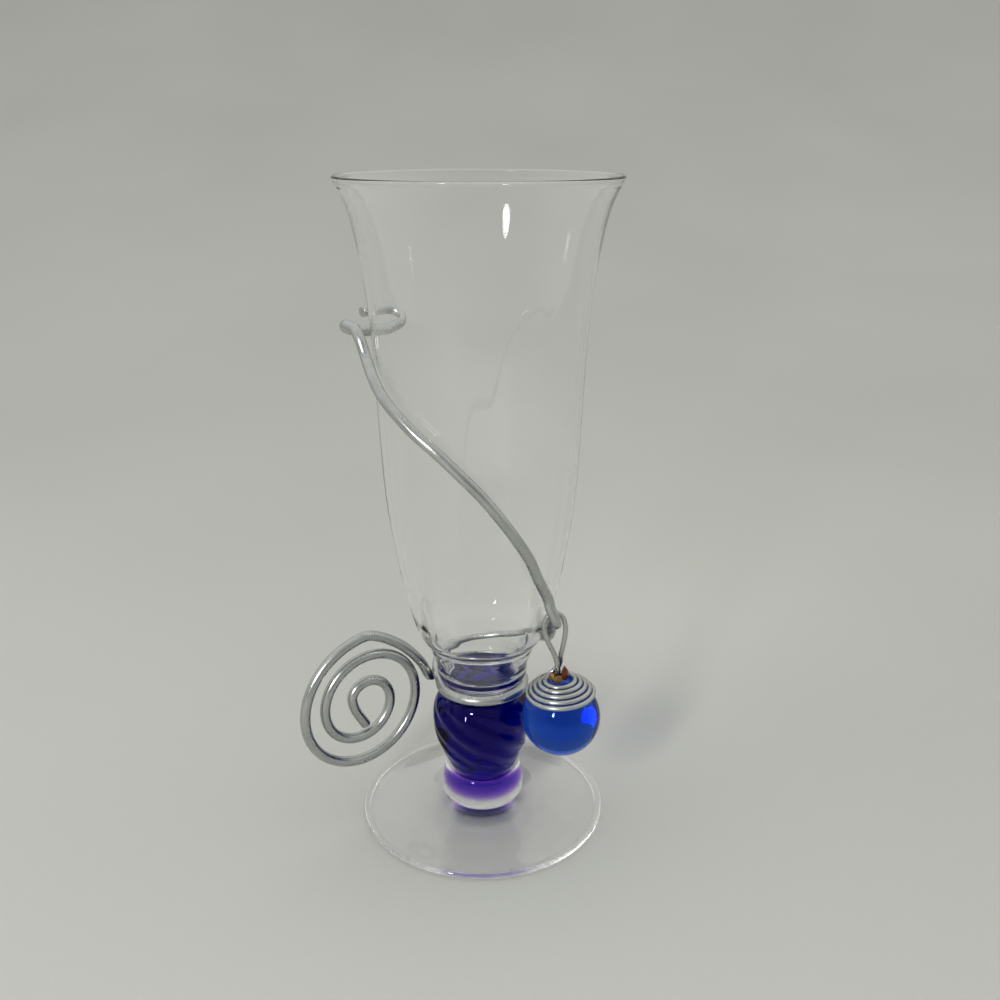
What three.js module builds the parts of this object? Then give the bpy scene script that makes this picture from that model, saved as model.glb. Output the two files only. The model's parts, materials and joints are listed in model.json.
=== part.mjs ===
// Art glass vase: five pieces of glass fused in a stack, one strand of aluminium wire wound round
// the neck, and a glass ball that hangs from a hook in that strand on a thinner wire.
// Millimetres, +Z up. The origin is the centre of the foot, on the surface it stands on.
// Azimuths are degrees seen from above: 0 is right, 90 the back, 180 left and -90 the front.

import * as THREE from 'three';
import { ConvexGeometry } from 'three/addons/geometries/ConvexGeometry.js';
import { mergeVertices } from 'three/addons/utils/BufferGeometryUtils.js';

// Foot
const footRadius = 42.2;
const footEdgeThickness = 2.1;
const footEdgeRound = 0.9;
const footHeight = 6;
const footTopRadius = 13;

// Clear knop that stands on the foot, with a socket for the stem of the blue knop
const lowerKnopRadius = 14.2;
const lowerKnopHeight = 11.5;
const lowerKnopTopRadius = 11;
const stemRadius = 9.4;
const stemLength = 9.7;
const stemGap = 0.3;

// Blue knop with twisted ribs
const swirlKnopRadius = 17.1;
const swirlKnopHeight = 28.1;
const swirlKnopFootRadius = 10.9;
const swirlKnopFootFlare = 1;
const swirlKnopNotchRadius = 12.7;
const swirlKnopTopRadius = 14.5;
const ribCount = 8;
const ribDepth = 0.8;
const ribTwist = 180;

// Clear waist, drawn in to the groove that the wire lies in
const grooveRadius = 12.2;
const grooveRise = 3.7;
const waistHeight = 4.4;

// Bowl: a collar above the groove, and the flared cup
const bowlHeight = 166;
const collarRise = 8;
const collarRadius = 15.1;
const cupBaseRadius = 15.6;
const cupHipRadius = 25.3;
const cupBodyRadius = 32.1;
const rimRadius = 42.9;
const baseWall = 2.2;
const bowlWall = 1.6;
const rimThickness = 1.3;
const bowlFloor = 2.2;
const bowlFloorRound = 2.5;
const panelCount = 12;
const panelDepth = 0.35;

// Wire wrap
const wireDiameter = 3.2;
const wireGap = 0.3;
const neckGap = 0.5;
const spiralCentreOut = 26.2;
const spiralCentreUp = -1.4;
const spiralInnerRadius = 2.95;
const spiralGrowth = 11.85;
const spiralGrowthPower = 0.75;
const spiralTurns = 2.24;
const spiralStart = 5;
const spiralDriftOut = -0.95;
const spiralDriftUp = -0.4;
const spiralOval = 0.025;
const spiralOvalLean = 135;
const spiralYaw = 34.4;
const bendRadius = 2.5;
const hookAzimuth = -33.8;
const hookHeight = 21.8;
const hookStandOff = 2.62;

// Pendant: its lengths run down from the hook, along the pin
const hangerDiameter = 1.5;
const hangerGap = 0.35;
const ballRadius = 13;
const hangLength = 34.9;
const pendantLean = 4.2;
const pinDepth = 7;
const pinClearance = 0.3;
const coilInnerRadius = 4.3;
const coilOuterRadius = 11.3;
const coilTurns = 4.7;
const coilStart = 150;
const chipReach = 2.25;
const chipClearance = 0.3;
const leftChipSize = [2.6, 1.7, 2.3];
const frontChipSize = [2.3, 1.7, 2];
const brownChipSize = [2.7, 1.8, 4.4];

// Fineness of the facets
const bowlSegments = 48;
const ribbedSegments = 72;
const plainSegments = 48;
const ballSegments = 30;
const wireSides = 8;
const hangerSides = 6;
const wireStepTurn = 15;

const degrees = THREE.MathUtils.degToRad;

// Heights where the fused pieces meet
const lowerKnopBase = footHeight;
const swirlKnopBase = lowerKnopBase + lowerKnopHeight;
const waistBase = swirlKnopBase + swirlKnopHeight;
const bowlBase = waistBase + waistHeight;
const cupBase = bowlBase + collarRise;
const cupHeight = bowlHeight - collarRise;
const rimHeight = bowlBase + bowlHeight;

const clearGlass = { color: 0xe6eeec, roughness: 0.04, metalness: 0, transparent: true, opacity: 0.35 };
const cobaltGlass = { color: 0x1f1278, roughness: 0.05, metalness: 0, transparent: true, opacity: 0.85 };
const ballGlass = { color: 0x1e4aa8, roughness: 0.04, metalness: 0, transparent: true, opacity: 0.85 };
const satinAluminium = { color: 0xa9acab, roughness: 0.38, metalness: 1 };
const amberStone = { color: 0xb0812f, roughness: 0.45, metalness: 0 };
const brownStone = { color: 0x6a3018, roughness: 0.45, metalness: 0 };

function piece(name, geometry, look) {
  const mesh = new THREE.Mesh(geometry, new THREE.MeshStandardMaterial(look));
  mesh.name = name;
  return mesh;
}

// Points of a smooth outline through hand-set [radius, height] pairs
function smoothOutline(pairs, divisions) {
  const curve = new THREE.SplineCurve(pairs.map(([radius, height]) => new THREE.Vector2(radius, height)));
  return curve.getPoints(divisions);
}

// Solid of revolution. The outline starts on the axis, goes up the outside and ends on the axis.
// shape gives the radius at an azimuth, and turn the angle by which a height's ring is turned.
function revolve(outline, segments, shape = (radius) => radius, turn = () => 0) {
  const rings = outline.slice(1, -1);
  const positions = [0, 0, outline[0].y];
  for (const point of rings) {
    for (let step = 0; step < segments; step += 1) {
      const angle = (2 * Math.PI * step) / segments + turn(point.y);
      const radius = shape(point.x, angle, point.y);
      positions.push(radius * Math.cos(angle), radius * Math.sin(angle), point.y);
    }
  }
  positions.push(0, 0, outline[outline.length - 1].y);

  const indices = [];
  const lastVertex = 1 + rings.length * segments;
  const vertex = (ring, step) => 1 + ring * segments + (step % segments);
  for (let step = 0; step < segments; step += 1) {
    indices.push(0, vertex(0, step + 1), vertex(0, step));
    for (let ring = 0; ring + 1 < rings.length; ring += 1) {
      const corner = vertex(ring, step);
      const opposite = vertex(ring + 1, step + 1);
      indices.push(corner, vertex(ring, step + 1), opposite);
      indices.push(corner, opposite, vertex(ring + 1, step));
    }
    indices.push(vertex(rings.length - 1, step), vertex(rings.length - 1, step + 1), lastVertex);
  }
  const geometry = new THREE.BufferGeometry();
  geometry.setAttribute('position', new THREE.Float32BufferAttribute(positions, 3));
  geometry.setIndex(indices);
  return geometry;
}

// Round tube through a list of points, closed by flat ends
function tube(points, diameter, sides) {
  const positions = [];
  const indices = [];
  const tangents = points.map((point, i) => {
    const before = points[Math.max(i - 1, 0)];
    const after = points[Math.min(i + 1, points.length - 1)];
    return after.clone().sub(before).normalize();
  });
  const side = new THREE.Vector3(0, 1, 0).cross(tangents[0]);
  if (side.length() < 0.1) side.set(1, 0, 0).cross(tangents[0]);
  side.normalize();
  points.forEach((point, i) => {
    side.addScaledVector(tangents[i], -side.dot(tangents[i])).normalize();
    const other = tangents[i].clone().cross(side);
    for (let k = 0; k < sides; k += 1) {
      const angle = (2 * Math.PI * k) / sides;
      const corner = point.clone();
      corner.addScaledVector(side, (diameter / 2) * Math.cos(angle));
      corner.addScaledVector(other, (diameter / 2) * Math.sin(angle));
      positions.push(corner.x, corner.y, corner.z);
    }
  });
  const vertex = (ring, k) => ring * sides + (k % sides);
  for (let ring = 0; ring + 1 < points.length; ring += 1) {
    for (let k = 0; k < sides; k += 1) {
      indices.push(vertex(ring, k), vertex(ring, k + 1), vertex(ring + 1, k + 1));
      indices.push(vertex(ring, k), vertex(ring + 1, k + 1), vertex(ring + 1, k));
    }
  }
  const last = points.length - 1;
  for (let k = 1; k + 1 < sides; k += 1) {
    indices.push(vertex(0, 0), vertex(0, k + 1), vertex(0, k));
    indices.push(vertex(last, 0), vertex(last, k), vertex(last, k + 1));
  }
  const geometry = new THREE.BufferGeometry();
  geometry.setAttribute('position', new THREE.Float32BufferAttribute(positions, 3));
  geometry.setIndex(indices);
  return geometry;
}

// Smooth route through the points, cut into steps that turn by at most wireStepTurn degrees
function smoothRoute(points, longestStep) {
  const fine = new THREE.CatmullRomCurve3(points, false, 'centripetal').getPoints(points.length * 24);
  const route = [fine[0]];
  let length = 0;
  let turned = 0;
  for (let i = 1; i + 1 < fine.length; i += 1) {
    const arrived = fine[i].clone().sub(fine[i - 1]);
    const leaving = fine[i + 1].clone().sub(fine[i]);
    length += arrived.length();
    turned += arrived.angleTo(leaving);
    if (turned >= degrees(wireStepTurn) || length >= longestStep) {
      route.push(fine[i]);
      length = 0;
      turned = 0;
    }
  }
  route.push(fine[fine.length - 1]);
  return route;
}

// Least gap between stretches of one wire that are not neighbours along it
function leastGapToItself(route, diameter) {
  const dense = new THREE.CatmullRomCurve3(route).getSpacedPoints(900);
  const spacing = new THREE.CatmullRomCurve3(route).getLength() / 900;
  const skip = Math.ceil((3 * diameter) / spacing);
  let least = Infinity;
  for (let i = 0; i < dense.length; i += 1) {
    for (let j = i + skip; j < dense.length; j += 1) least = Math.min(least, dense[i].distanceTo(dense[j]));
  }
  return least - diameter;
}

// Outlines of the glass, as [radius, height above the piece's own base]

function footOutline() {
  const edgeTop = footEdgeThickness - footEdgeRound / 3;
  const cone = smoothOutline([
    [footRadius - footEdgeRound * 1.5, footEdgeThickness],
    [footRadius * 0.73, footEdgeThickness + (footHeight - footEdgeThickness) * 0.15],
    [footRadius * 0.52, footEdgeThickness + (footHeight - footEdgeThickness) * 0.38],
    [footTopRadius * 1.3, footEdgeThickness + (footHeight - footEdgeThickness) * 0.62],
    [footTopRadius * 1.1, footEdgeThickness + (footHeight - footEdgeThickness) * 0.85],
    [footTopRadius, footHeight],
  ], 7);
  return [
    new THREE.Vector2(0, 0),
    new THREE.Vector2(footRadius - footEdgeRound, 0),
    new THREE.Vector2(footRadius - footEdgeRound * 0.25, footEdgeRound * 0.35),
    new THREE.Vector2(footRadius, footEdgeRound),
    new THREE.Vector2(footRadius - footEdgeRound * 0.35, edgeTop),
    ...cone,
    new THREE.Vector2(0, footHeight),
  ];
}

function lowerKnopOutline() {
  const side = smoothOutline([
    [footTopRadius, 0],
    [lowerKnopRadius * 0.98, lowerKnopHeight * 0.14],
    [lowerKnopRadius, lowerKnopHeight * 0.3],
    [lowerKnopRadius * 0.99, lowerKnopHeight * 0.52],
    [lowerKnopRadius * 0.92, lowerKnopHeight * 0.9],
    [lowerKnopTopRadius, lowerKnopHeight],
  ], 8);
  const socketFloor = lowerKnopHeight - stemLength - stemGap;
  return [
    new THREE.Vector2(0, 0),
    ...side,
    new THREE.Vector2(stemRadius + stemGap, lowerKnopHeight),
    new THREE.Vector2(stemRadius + stemGap, socketFloor),
    new THREE.Vector2(0, socketFloor),
  ];
}

function swirlKnopOutline() {
  const side = smoothOutline([
    [swirlKnopFootRadius, 0],
    [swirlKnopFootRadius + swirlKnopFootFlare, swirlKnopHeight * 0.05],
    [swirlKnopNotchRadius, swirlKnopHeight * 0.118],
    [(swirlKnopNotchRadius + swirlKnopRadius) / 2, swirlKnopHeight * 0.285],
    [swirlKnopRadius * 0.99, swirlKnopHeight * 0.523],
    [swirlKnopRadius, swirlKnopHeight * 0.658],
    [swirlKnopRadius * 0.98, swirlKnopHeight * 0.836],
    [swirlKnopRadius * 0.93, swirlKnopHeight * 0.93],
    [swirlKnopTopRadius, swirlKnopHeight],
  ], 15);
  return [
    new THREE.Vector2(0, -stemLength),
    new THREE.Vector2(stemRadius, -stemLength),
    new THREE.Vector2(stemRadius, 0),
    ...side,
    new THREE.Vector2(0, swirlKnopHeight),
  ];
}

function waistOutline() {
  const side = smoothOutline([
    [swirlKnopTopRadius, 0],
    [(swirlKnopTopRadius + grooveRadius * 3) / 4, waistHeight * 0.36],
    [grooveRadius, waistHeight * 0.7],
    [grooveRadius, waistHeight],
  ], 6);
  return [new THREE.Vector2(0, 0), ...side, new THREE.Vector2(0, waistHeight)];
}

// Outer side of the bowl. The cup is given as a share of its height, the two radii it lies between,
// and how far between them.
const bowlSide = smoothOutline([
  [grooveRadius, 0],
  [(grooveRadius * 3 + collarRadius) / 4, collarRise * 0.11],
  [(grooveRadius + collarRadius * 3) / 4, collarRise * 0.25],
  [collarRadius, collarRise * 0.44],
  [(collarRadius + cupBaseRadius) / 2, collarRise * 0.7],
  ...[
    [0, cupBaseRadius, cupHipRadius, 0],
    [0.029, cupBaseRadius, cupHipRadius, 0.165],
    [0.0445, cupBaseRadius, cupHipRadius, 0.25],
    [0.0553, cupBaseRadius, cupHipRadius, 0.4],
    [0.0724, cupBaseRadius, cupHipRadius, 0.577],
    [0.0953, cupBaseRadius, cupHipRadius, 0.711],
    [0.127, cupBaseRadius, cupHipRadius, 0.845],
    [0.165, cupBaseRadius, cupHipRadius, 1],
    [0.216, cupHipRadius, cupBodyRadius, 0.235],
    [0.368, cupHipRadius, cupBodyRadius, 0.765],
    [0.536, cupHipRadius, cupBodyRadius, 1],
    [0.696, cupBodyRadius, rimRadius, 0.102],
    [0.81, cupBodyRadius, rimRadius, 0.26],
    [0.892, cupBodyRadius, rimRadius, 0.444],
    [0.95, cupBodyRadius, rimRadius, 0.657],
    [1, cupBodyRadius, rimRadius, 1],
  ].map(([rise, from, to, share]) => [
    THREE.MathUtils.lerp(from, to, share),
    collarRise + rise * (cupHeight - rimThickness / 2),
  ]),
], 26);

function sampleRadius(points, height) {
  if (height <= points[0].y) return points[0].x;
  for (let i = 1; i < points.length; i += 1) {
    if (height <= points[i].y) {
      const share = (height - points[i - 1].y) / (points[i].y - points[i - 1].y);
      return THREE.MathUtils.lerp(points[i - 1].x, points[i].x, share);
    }
  }
  return points[points.length - 1].x;
}

function bowlOutline() {
  const slopeAt = (height) => (sampleRadius(bowlSide, height + 1) - sampleRadius(bowlSide, height - 1)) / 2;
  const insideRadius = (height) => {
    const thinnedBase = THREE.MathUtils.smoothstep(height, bowlFloor, collarRise * 4);
    const thinnedRim = THREE.MathUtils.smoothstep(height, bowlHeight * 0.85, bowlHeight);
    const baseToWall = THREE.MathUtils.lerp(baseWall, bowlWall, thinnedBase);
    const wall = THREE.MathUtils.lerp(baseToWall, rimThickness, thinnedRim);
    return sampleRadius(bowlSide, height) - wall * Math.hypot(1, slopeAt(height));
  };
  const cornerTop = bowlFloor + bowlFloorRound;
  const cornerRadius = insideRadius(cornerTop);
  const insideHeights = bowlSide.map((point) => point.y).filter((height) => height > cornerTop + bowlWall);
  const inside = insideHeights.slice(0, -1).reverse().map((height) => (
    new THREE.Vector2(insideRadius(height), height)
  ));
  const rimCentre = new THREE.Vector2(rimRadius - rimThickness / 2, bowlHeight - rimThickness / 2);
  const rim = [60, 120, 180].map((turn) => new THREE.Vector2(
    rimCentre.x + (rimThickness / 2) * Math.cos(degrees(turn)),
    rimCentre.y + (rimThickness / 2) * Math.sin(degrees(turn)),
  ));
  return [
    new THREE.Vector2(0, 0),
    ...bowlSide,
    ...rim,
    ...inside,
    new THREE.Vector2(cornerRadius, cornerTop),
    new THREE.Vector2(cornerRadius - bowlFloorRound * 0.3, bowlFloor + bowlFloorRound * 0.4),
    new THREE.Vector2(cornerRadius - bowlFloorRound * 0.8, bowlFloor + bowlFloorRound * 0.1),
    new THREE.Vector2(cornerRadius - bowlFloorRound * 1.4, bowlFloor),
    new THREE.Vector2(0, bowlFloor),
  ];
}

// Soft upright panels, cut into the outline and fading out at the base and towards the rim
function panelShape(radius, angle, height) {
  const rise = THREE.MathUtils.smoothstep(height, collarRise * 1.6, bowlHeight * 0.2);
  const fade = rise * (1 - THREE.MathUtils.smoothstep(height, bowlHeight * 0.6, bowlHeight * 0.95));
  return radius - panelDepth * fade * (0.5 + 0.5 * Math.cos(panelCount * angle));
}

// Ribs of the blue knop, cut into the outline and fading out at both ends
const ribTurn = (height) => -degrees(ribTwist) * (height / swirlKnopHeight);

function ribShape(radius, angle, height) {
  const rise = THREE.MathUtils.smoothstep(height, swirlKnopHeight * 0.08, swirlKnopHeight * 0.35);
  const fade = rise * (1 - THREE.MathUtils.smoothstep(height, swirlKnopHeight * 0.85, swirlKnopHeight));
  return radius - ribDepth * fade * (0.5 - 0.5 * Math.cos(ribCount * (angle - ribTurn(height))));
}

// Radius of the waist and bowl at a height above the table, and how fast it grows
const stackSide = [
  ...waistOutline().slice(1, -1).map((point) => new THREE.Vector2(point.x, point.y + waistBase)),
  ...bowlSide.slice(1).map((point) => new THREE.Vector2(point.x, point.y + bowlBase)),
];
const glassRadius = (height) => sampleRadius(stackSide, height);
const glassSlope = (height) => (glassRadius(height + 1.5) - glassRadius(height - 1.5)) / 3;

function around(azimuth, radius, height) {
  return new THREE.Vector3(radius * Math.cos(degrees(azimuth)), radius * Math.sin(degrees(azimuth)), height);
}

// Centre of the wire where it passes the glass at an azimuth and height, with a gap to the glass
function besideGlass(azimuth, height, gap = wireGap) {
  const reach = (wireDiameter / 2 + gap) * Math.hypot(1, glassSlope(height));
  return around(azimuth, glassRadius(height) + reach, height);
}

// Route of the wire wrap, from the cut end inside the flat spiral to the end of the small curl.
// Its bends are set by hand, in wire diameters.

const wires = (count) => count * wireDiameter;
const neckHeight = waistBase + grooveRise;
const neckRadius = grooveRadius + wireDiameter / 2 + neckGap;
const hook = besideGlass(hookAzimuth, cupBase + hookHeight, hookStandOff);

// Sharp bend between the spiral and the neck, and the two directions of the spiral's upright plane
const spiralBend = around(166.2, neckRadius + wires(1.44), neckHeight - wires(0.34));
const spiralOut = new THREE.Vector3(-Math.cos(degrees(spiralYaw)), -Math.sin(degrees(spiralYaw)), 0);
const spiralUp = new THREE.Vector3(0, 0, 1);
const spiralPlace = (out, up) => (
  spiralBend.clone().addScaledVector(spiralOut, out).addScaledVector(spiralUp, up)
);

// A corner rounded to the bend radius, as five points on its arc
function roundedCorner(before, corner, after) {
  const arriving = corner.clone().sub(before).normalize();
  const leaving = after.clone().sub(corner).normalize();
  const turn = arriving.angleTo(leaving);
  const middle = leaving.clone().sub(arriving).normalize();
  const centre = corner.clone().addScaledVector(middle, bendRadius / Math.cos(turn / 2));
  const sideways = arriving.clone().add(leaving).normalize();
  return [-0.5, -0.25, 0, 0.25, 0.5].map((share) => (
    centre.clone()
      .addScaledVector(middle, -bendRadius * Math.cos(share * turn))
      .addScaledVector(sideways, bendRadius * Math.sin(share * turn))
  ));
}

function spiralRoute() {
  const place = (out, up) => spiralPlace(spiralCentreOut + out, spiralCentreUp + up);
  const bent = ([out, up]) => place(wires(out), wires(up));
  const innerEnd = [[-0.28, -2.78], [0.38, -1.63], [0.91, -0.6]].map(bent);
  const loops = [];
  const stepCount = Math.round(spiralTurns * 24);
  for (let step = 1; step <= stepCount; step += 1) {
    const turns = (step / stepCount) * spiralTurns;
    const angle = degrees(spiralStart + 360 * turns);
    const oval = 1 + spiralOval * Math.cos(2 * (angle - degrees(spiralOvalLean)));
    const radius = oval * (spiralInnerRadius + spiralGrowth * turns ** spiralGrowthPower);
    const out = spiralDriftOut * turns + radius * Math.cos(angle);
    const up = spiralDriftUp * turns + radius * Math.sin(angle);
    loops.push(place(out, up));
  }
  const wayDown = [[-2.34, 6.91], [-3.62, 6.15], [-4.92, 5.16], [-6.18, 3.86], [-7.28, 2.34]].map(bent);
  return [...innerEnd, ...loops, ...wayDown];
}

// Round the neck once, from the bend where the spiral ends to where the wire starts to climb
function neckRoute(lastOfSpiral) {
  const place = ([azimuth, out, up]) => around(azimuth, neckRadius + wires(out), neckHeight + wires(up));
  const wayIn = [[150, 0.94, -0.25], [137, 0.59, -0.16], [121, 0.22, -0.06]].map(place);
  const lap = [];
  for (let azimuth = 105; azimuth >= -165; azimuth -= 15) lap.push(place([azimuth, 0, 0]));
  const wayUp = [[-180, 0.08, 0.14], [-192, 0.53, 0.56]].map(place);
  return [...roundedCorner(lastOfSpiral, spiralBend, wayIn[0]), ...wayIn, ...lap, ...wayUp];
}

// Up round the back of the bowl: azimuth, rise above the cup's base in wire diameters, share of the gap
function backRoute() {
  return [
    [-207, -1.34, 1.3],
    [-228, -0.88, 1],
    [-255, -0.38, 1.3],
    [-285, 0.13, 1.2],
    [-315, 0.75, 1],
    [-337, 1.53, 1],
    [-354, 2.28, 1],
    [-368, 3.13, 1],
  ].map(([azimuth, rise, share]) => besideGlass(azimuth, cupBase + wires(rise), wireGap * share));
}

// The hook is a short straight stretch between two corners, and the pendant hangs on it
function hookRoute() {
  const place = (x, y, z) => hook.clone().add(new THREE.Vector3(wires(x), wires(y), wires(z)));
  const below = besideGlass(hookAzimuth + 14, hook.z - wires(2.4));
  const behindHook = place(-0.03, 0.69, 0);
  const beforeHook = place(0.16, -1.34, -0.06);
  const above = place(-0.16, -1.38, 1.06);
  return [
    below,
    ...roundedCorner(below, behindHook, hook),
    ...roundedCorner(hook, beforeHook, above),
    above,
    place(-0.56, -1.31, 1.97),
  ];
}

// The arm leans on the bowl: azimuth, share of the cup's height and share of the gap
function armRoute() {
  return [
    [-43, 0.195, 4],
    [-47.8, 0.2228, 1.7],
    [-53, 0.25, 1.15],
    [-61, 0.3006, 1],
    [-70, 0.3494, 1],
    [-79.5, 0.3981, 1],
    [-89.5, 0.4449, 1],
    [-99, 0.4816, 1],
    [-112.5, 0.5266, 1],
    [-122.5, 0.5519, 1],
    [-133, 0.5797, 1],
    [-144.5, 0.6063, 1],
    [-156, 0.6386, 1.15],
    [-167.5, 0.6709, 2.3],
    [-171, 0.7, 5.7],
  ].map(([azimuth, share, gaps]) => besideGlass(azimuth, cupBase + cupHeight * share, wireGap * gaps));
}

// The curl: azimuth, distance out from the glass and height above its lowest part, in wire diameters
function curlRoute() {
  const curlBase = cupBase + cupHeight * 0.7;
  return [
    [-175.5, 1.44, 0.81],
    [180.5, 2.25, 1.03],
    [174.5, 2.63, 0.56],
    [168.2, 2.19, 0.06],
    [163.4, 1.16, -0.13],
    [156, 0.69, -0.19],
    [148, 0.63, -0.06],
    [140.5, 0.69, 0.19],
    [137, 1.5, 0.66],
    [138.8, 2.47, 1.06],
    [144, 3.09, 1.19],
    [150.4, 3.44, 1.13],
  ].map(([azimuth, out, up]) => {
    const height = curlBase + wires(up);
    return around(azimuth, glassRadius(height) + wires(out), height);
  });
}

function wireWrap() {
  const spiral = spiralRoute();
  const neck = neckRoute(spiral[spiral.length - 1]);
  const points = [...spiral, ...neck, ...backRoute(), ...hookRoute(), ...armRoute(), ...curlRoute()];
  const route = smoothRoute(points, wires(2));
  const beside = new THREE.CatmullRomCurve3(route).getSpacedPoints(900);
  const glassGaps = beside.filter((point) => point.z > waistBase).map((point) => {
    const away = Math.hypot(point.x, point.y) - glassRadius(point.z);
    return away / Math.hypot(1, glassSlope(point.z)) - wireDiameter / 2;
  });
  console.log('wire wrap: least gap to itself', leastGapToItself(route, wireDiameter).toFixed(2), 'mm');
  console.log('wire wrap: least gap to the glass about', Math.min(...glassGaps).toFixed(2), 'mm');
  return piece('wire_wrap', tube(route, wireDiameter, wireSides), satinAluminium);
}

// Pendant, drawn upright with its origin at the ball's centre and the hook hangLength above it

const coilSeatRadius = ballRadius + hangerDiameter / 2 + chipClearance;

function coilPoint(azimuth, radius) {
  return around(azimuth, radius, Math.sqrt(coilSeatRadius ** 2 - radius ** 2));
}

// Hanger wire, from the outer end of the coil inwards, up into the loop and down into the ball
function hangerWire() {
  const points = [];
  const outerTilt = Math.asin(coilOuterRadius / coilSeatRadius);
  const innerTilt = Math.asin(coilInnerRadius / coilSeatRadius);
  const stepCount = Math.round(coilTurns * 24);
  for (let step = 0; step <= stepCount; step += 1) {
    const tilt = THREE.MathUtils.lerp(outerTilt, innerTilt, step / stepCount);
    const azimuth = coilStart + 360 * coilTurns * (1 - step / stepCount);
    points.push(coilPoint(azimuth, coilSeatRadius * Math.sin(tilt)));
  }
  // The loop's arch goes round the hook; the two legs come down from it to the coil and the ball
  const loopReach = wireDiameter / 2 + hangerGap + hangerDiameter / 2;
  const coilTop = coilPoint(0, coilInnerRadius).z;
  const onArch = ([x, z]) => new THREE.Vector3(x * loopReach, 0, hangLength + z * loopReach);
  const onLeg = ([x, y, share]) => (
    new THREE.Vector3(x * loopReach, y * loopReach, THREE.MathUtils.lerp(coilTop, hangLength, share))
  );
  const legUp = [[-0.93, 1.37, 0.029], [-0.33, 1.48, 0.089], [0.15, 1.19, 0.164], [0.37, 0.78, 0.261],
    [0.44, 0.37, 0.382], [0.78, 0.07, 0.568]];
  const arch = [[1.15, -1.74], [1.2, -0.59], [0.87, 0.52], [0.07, 1], [-0.78, 0.63], [-1.3, -0.19],
    [-1.37, -1.22]];
  const legDown = [[-1, 0, 0.661], [-0.41, -0.04, 0.466], [-0.13, -0.06, 0.336], [0, 0, 0.196]];
  points.push(...legUp.map(onLeg), ...arch.map(onArch), ...legDown.map(onLeg));
  for (const height of [ballRadius * 1.08, ballRadius - pinDepth / 2, ballRadius - pinDepth]) {
    points.push(new THREE.Vector3(0, 0, height));
  }
  const route = smoothRoute(points, hangerDiameter * 2.6);
  console.log('hanger wire: least gap to itself', leastGapToItself(route, hangerDiameter).toFixed(2), 'mm');
  return piece('hanger_wire', tube(route, hangerDiameter, hangerSides), satinAluminium);
}

function pendantBall() {
  const holeRadius = hangerDiameter / 2 + pinClearance;
  const holeFloor = ballRadius - pinDepth - pinClearance;
  const holeTilt = Math.asin(holeRadius / ballRadius);
  const outline = [new THREE.Vector2(0, -ballRadius)];
  const rings = 13;
  for (let ring = 1; ring <= rings; ring += 1) {
    const tilt = Math.PI - (ring / rings) * (Math.PI - holeTilt);
    outline.push(new THREE.Vector2(ballRadius * Math.sin(tilt), ballRadius * Math.cos(tilt)));
  }
  outline.push(new THREE.Vector2(holeRadius, holeFloor), new THREE.Vector2(0, holeFloor));
  return piece('pendant_ball', revolve(outline, ballSegments), ballGlass);
}

// Rough stone chip: a twelve-sided block stretched to size, with its top drawn in by a taper
function chip(name, width, depth, height, taper, look) {
  const block = new THREE.DodecahedronGeometry(1);
  block.deleteAttribute('normal');
  block.deleteAttribute('uv');
  const corners = mergeVertices(block).getAttribute('position');
  const points = [];
  for (let i = 0; i < corners.count; i += 1) {
    const corner = new THREE.Vector3().fromBufferAttribute(corners, i);
    const draw = 1 - taper * (0.5 + corner.z / 2);
    points.push(corner.multiply(new THREE.Vector3((draw * width) / 2, (draw * depth) / 2, height / 2)));
  }
  const hull = new ConvexGeometry(points);
  hull.deleteAttribute('normal');
  return piece(name, mergeVertices(hull), look);
}

// A chip set on top of the ball, inside the coil
function seatedChip(name, azimuth, [width, depth, height], taper, look) {
  const stone = chip(name, width, depth, height, taper, look);
  const seat = Math.sqrt(ballRadius ** 2 - (chipReach - depth / 4) ** 2);
  stone.position.copy(around(azimuth, chipReach, seat + chipClearance + height / 2));
  stone.rotation.z = degrees(azimuth + 90);
  return stone;
}

const vase = new THREE.Group();

const foot = piece('foot', revolve(footOutline(), plainSegments), clearGlass);
const lowerKnop = piece('lower_knop', revolve(lowerKnopOutline(), plainSegments), clearGlass);
lowerKnop.position.z = lowerKnopBase;
const ribbedKnop = revolve(swirlKnopOutline(), ribbedSegments, ribShape, ribTurn);
const swirlKnop = piece('swirl_knop', ribbedKnop, cobaltGlass);
swirlKnop.position.z = swirlKnopBase;
const waistKnop = piece('waist_knop', revolve(waistOutline(), plainSegments), clearGlass);
waistKnop.position.z = waistBase;
const bowl = piece('bowl', revolve(bowlOutline(), bowlSegments, panelShape), clearGlass);
bowl.position.z = bowlBase;
vase.add(foot, lowerKnop, swirlKnop, waistKnop, bowl, wireWrap());

// The pendant is turned about the hook, so that the ball leans out from the neck
const swing = new THREE.Group();
swing.position.copy(hook);
swing.rotation.y = -degrees(pendantLean);
const pendant = new THREE.Group();
pendant.position.z = -hangLength;
pendant.add(hangerWire(), pendantBall());
pendant.add(seatedChip('amber_chip_left', 205, leftChipSize, 0.2, amberStone));
pendant.add(seatedChip('amber_chip_front', 265, frontChipSize, 0.2, amberStone));
pendant.add(seatedChip('brown_chip', 335, brownChipSize, 0.45, brownStone));
swing.add(pendant);
vase.add(swing);

console.log('hook', hook.toArray().map((value) => value.toFixed(2)).join(' '), 'rim', rimHeight);

export default vase;
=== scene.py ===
# Art glass vase: clear blown glass on a twisted cobalt knop, wound with aluminium wire that carries
# a blue glass ball
import json
import math

import bmesh
import bpy
import numpy as np
from mathutils import Matrix, Vector, noise


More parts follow.
